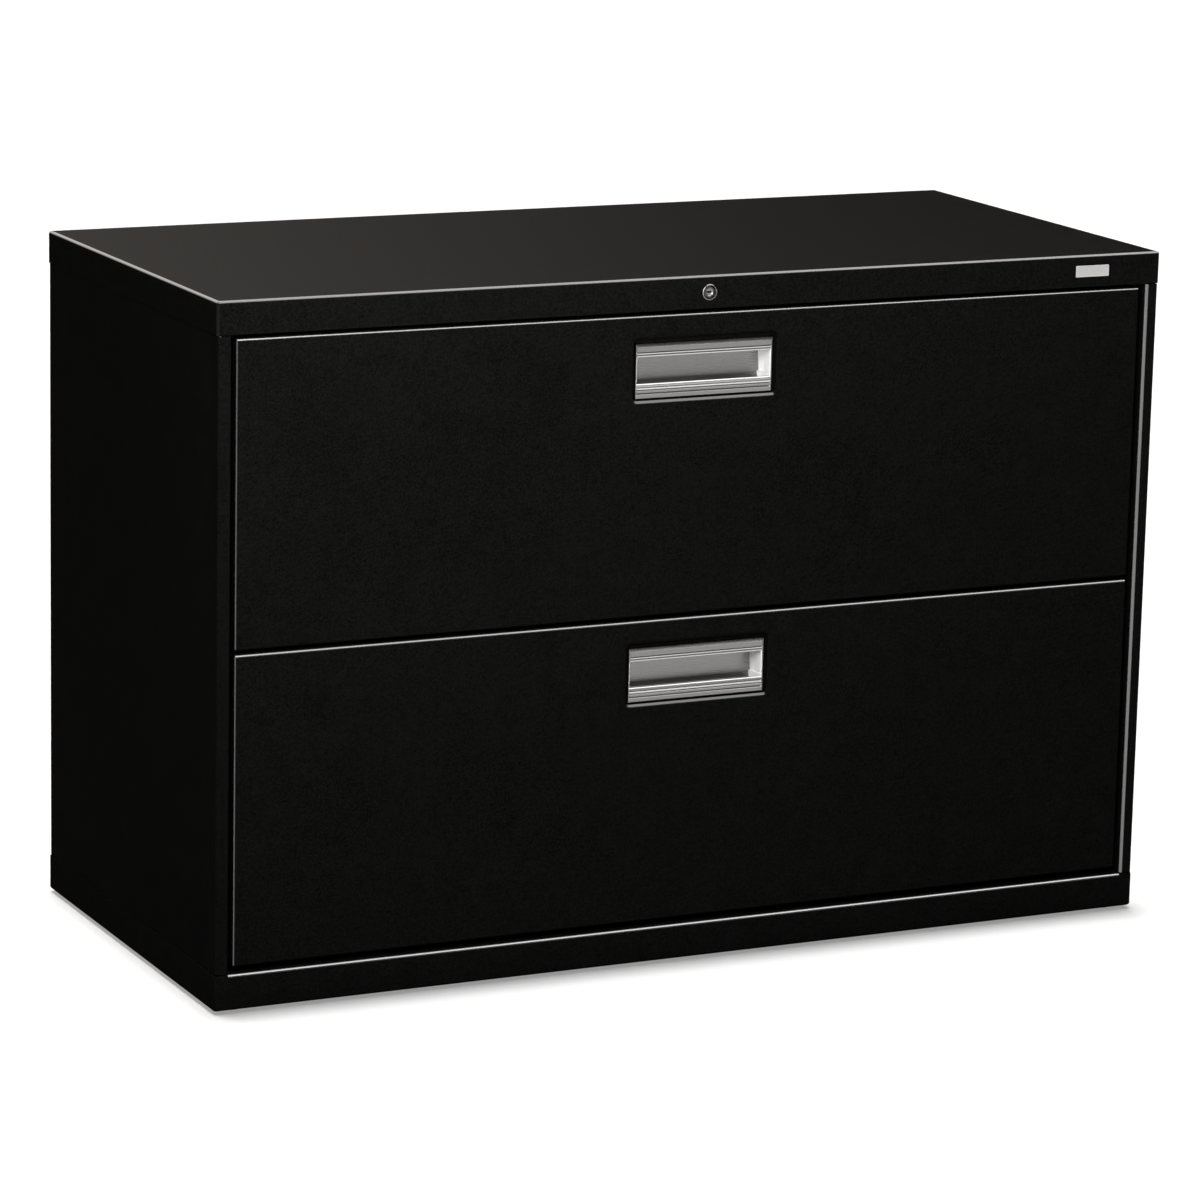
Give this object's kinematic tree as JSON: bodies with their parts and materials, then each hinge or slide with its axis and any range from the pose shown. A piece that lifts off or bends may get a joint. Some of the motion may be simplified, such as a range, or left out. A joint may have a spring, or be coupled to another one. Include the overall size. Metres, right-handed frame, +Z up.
{
  "type": "lateral filing cabinet",
  "caption": "Low wide steel filing cabinet whose drawers pull out on telescoping ball slides, with recessed pulls and a lock in the apron that bars the drawers.",
  "frame": {"origin": "on the floor, under the middle of the cabinet's box", "axes": "front faces -Y, +X to the right as seen from the front, +Z up"},
  "size_m": [1.067, 0.489, 0.721],
  "materials": {
    "powder": "black powder coat, satin",
    "zinc": "zinc-plated steel",
    "aluminium": "satin anodised extrusion",
    "bright": "nickel plate",
    "plate": "satin, bare",
    "weight": "dark, rough",
    "glide": "black nylon glide on a stem"
  },
  "bodies": {
    "case": {"top_panel": "powder", "left_side_panel": "powder", "right_side_panel": "powder", "back_panel": "powder", "bottom_panel": "powder", "base_frame": "powder", "front_left_upright": "zinc", "front_right_upright": "zinc", "rear_left_upright": "zinc", "rear_right_upright": "zinc", "apron_channel": "zinc", "counterweight": "weight", "name_plate": "plate", "lock_barrel": "bright", "lock_nut": "zinc", "lock_bar_guides": "zinc", "upper_outer_rails": "zinc", "lower_outer_rails": "zinc", "glide_nuts": "zinc"},
    "upper_drawer": {"upper_drawer_front": "powder", "upper_front_liner": "powder", "upper_drawer_bottom": "powder", "upper_drawer_back": "powder", "upper_drawer_left_side": "powder", "upper_drawer_right_side": "powder", "upper_hang_rails": "zinc", "upper_pull": "aluminium", "upper_pull_end_caps": "aluminium", "upper_pull_bracket": "powder", "upper_pull_screws": "zinc", "upper_inner_rails": "zinc", "upper_lock_catch": "zinc"},
    "upper_middle": {"upper_middle_rails": "zinc"},
    "upper_outer_balls": {"upper_outer_bearings": "zinc"},
    "upper_inner_balls": {"upper_inner_bearings": "zinc"},
    "lower_drawer": {"lower_drawer_front": "powder", "lower_front_liner": "powder", "lower_drawer_bottom": "powder", "lower_drawer_back": "powder", "lower_drawer_left_side": "powder", "lower_drawer_right_side": "powder", "lower_hang_rails": "zinc", "lower_pull": "aluminium", "lower_pull_end_caps": "aluminium", "lower_pull_bracket": "powder", "lower_pull_screws": "zinc", "lower_inner_rails": "zinc", "lower_lock_catch": "zinc"},
    "lower_middle": {"lower_middle_rails": "zinc"},
    "lower_outer_balls": {"lower_outer_bearings": "zinc"},
    "lower_inner_balls": {"lower_inner_bearings": "zinc"},
    "lock_core": {"lock_plug": "bright", "lock_cam": "zinc"},
    "lock_slide": {"lock_slide_bar": "zinc"},
    "lock_latch": {"lock_bar": "zinc"},
    "front_left_foot": {"front_left_glide": "glide"},
    "front_right_foot": {"front_right_glide": "glide"},
    "rear_left_foot": {"rear_left_glide": "glide"},
    "rear_right_foot": {"rear_right_glide": "glide"}
  },
  "joints": [
    {"name": "upper_drawer_slide", "type": "slide", "parent": "case", "child": "upper_drawer", "axis": [0, -1, 0], "range_m": [0, 0.4]},
    {"name": "upper_middle_slide", "type": "slide", "parent": "case", "child": "upper_middle", "axis": [0, -1, 0], "range_m": [0, 0.2]},
    {"name": "upper_outer_balls_slide", "type": "slide", "parent": "case", "child": "upper_outer_balls", "axis": [0, -1, 0], "range_m": [0, 0.1]},
    {"name": "upper_inner_balls_slide", "type": "slide", "parent": "case", "child": "upper_inner_balls", "axis": [0, -1, 0], "range_m": [0, 0.3]},
    {"name": "lower_drawer_slide", "type": "slide", "parent": "case", "child": "lower_drawer", "axis": [0, -1, 0], "range_m": [0, 0.4]},
    {"name": "lower_middle_slide", "type": "slide", "parent": "case", "child": "lower_middle", "axis": [0, -1, 0], "range_m": [0, 0.2]},
    {"name": "lower_outer_balls_slide", "type": "slide", "parent": "case", "child": "lower_outer_balls", "axis": [0, -1, 0], "range_m": [0, 0.1]},
    {"name": "lower_inner_balls_slide", "type": "slide", "parent": "case", "child": "lower_inner_balls", "axis": [0, -1, 0], "range_m": [0, 0.3]},
    {"name": "lock_turn", "type": "hinge", "parent": "case", "child": "lock_core", "pos_m": [0, -0.242, 0.704], "axis": [0, 1, 0], "range_deg": [0, 90]},
    {"name": "lock_slide_shift", "type": "slide", "parent": "case", "child": "lock_slide", "axis": [-1, 0, 0], "range_m": [0, 0.0099]},
    {"name": "lock_latch_lift", "type": "slide", "parent": "case", "child": "lock_latch", "axis": [0, 0, 1], "range_m": [0, 0.0099]},
    {"name": "front_left_level", "type": "slide", "parent": "case", "child": "front_left_foot", "axis": [0, 0, 1], "range_m": [-0.012, 0]},
    {"name": "front_right_level", "type": "slide", "parent": "case", "child": "front_right_foot", "axis": [0, 0, 1], "range_m": [-0.012, 0]},
    {"name": "rear_left_level", "type": "slide", "parent": "case", "child": "rear_left_foot", "axis": [0, 0, 1], "range_m": [-0.012, 0]},
    {"name": "rear_right_level", "type": "slide", "parent": "case", "child": "rear_right_foot", "axis": [0, 0, 1], "range_m": [-0.012, 0]}
  ],
  "couplings": [
    {"joint": "upper_middle_slide", "follows": "upper_drawer_slide", "ratio": 0.5},
    {"joint": "upper_outer_balls_slide", "follows": "upper_drawer_slide", "ratio": 0.25},
    {"joint": "upper_inner_balls_slide", "follows": "upper_drawer_slide", "ratio": 0.75},
    {"joint": "lower_middle_slide", "follows": "lower_drawer_slide", "ratio": 0.5},
    {"joint": "lower_outer_balls_slide", "follows": "lower_drawer_slide", "ratio": 0.25},
    {"joint": "lower_inner_balls_slide", "follows": "lower_drawer_slide", "ratio": 0.75},
    {"joint": "lock_turn", "follows": "lock_slide_shift", "rad_per_m": 158.67},
    {"joint": "lock_latch_lift", "follows": "lock_slide_shift", "ratio": 1}
  ]
}
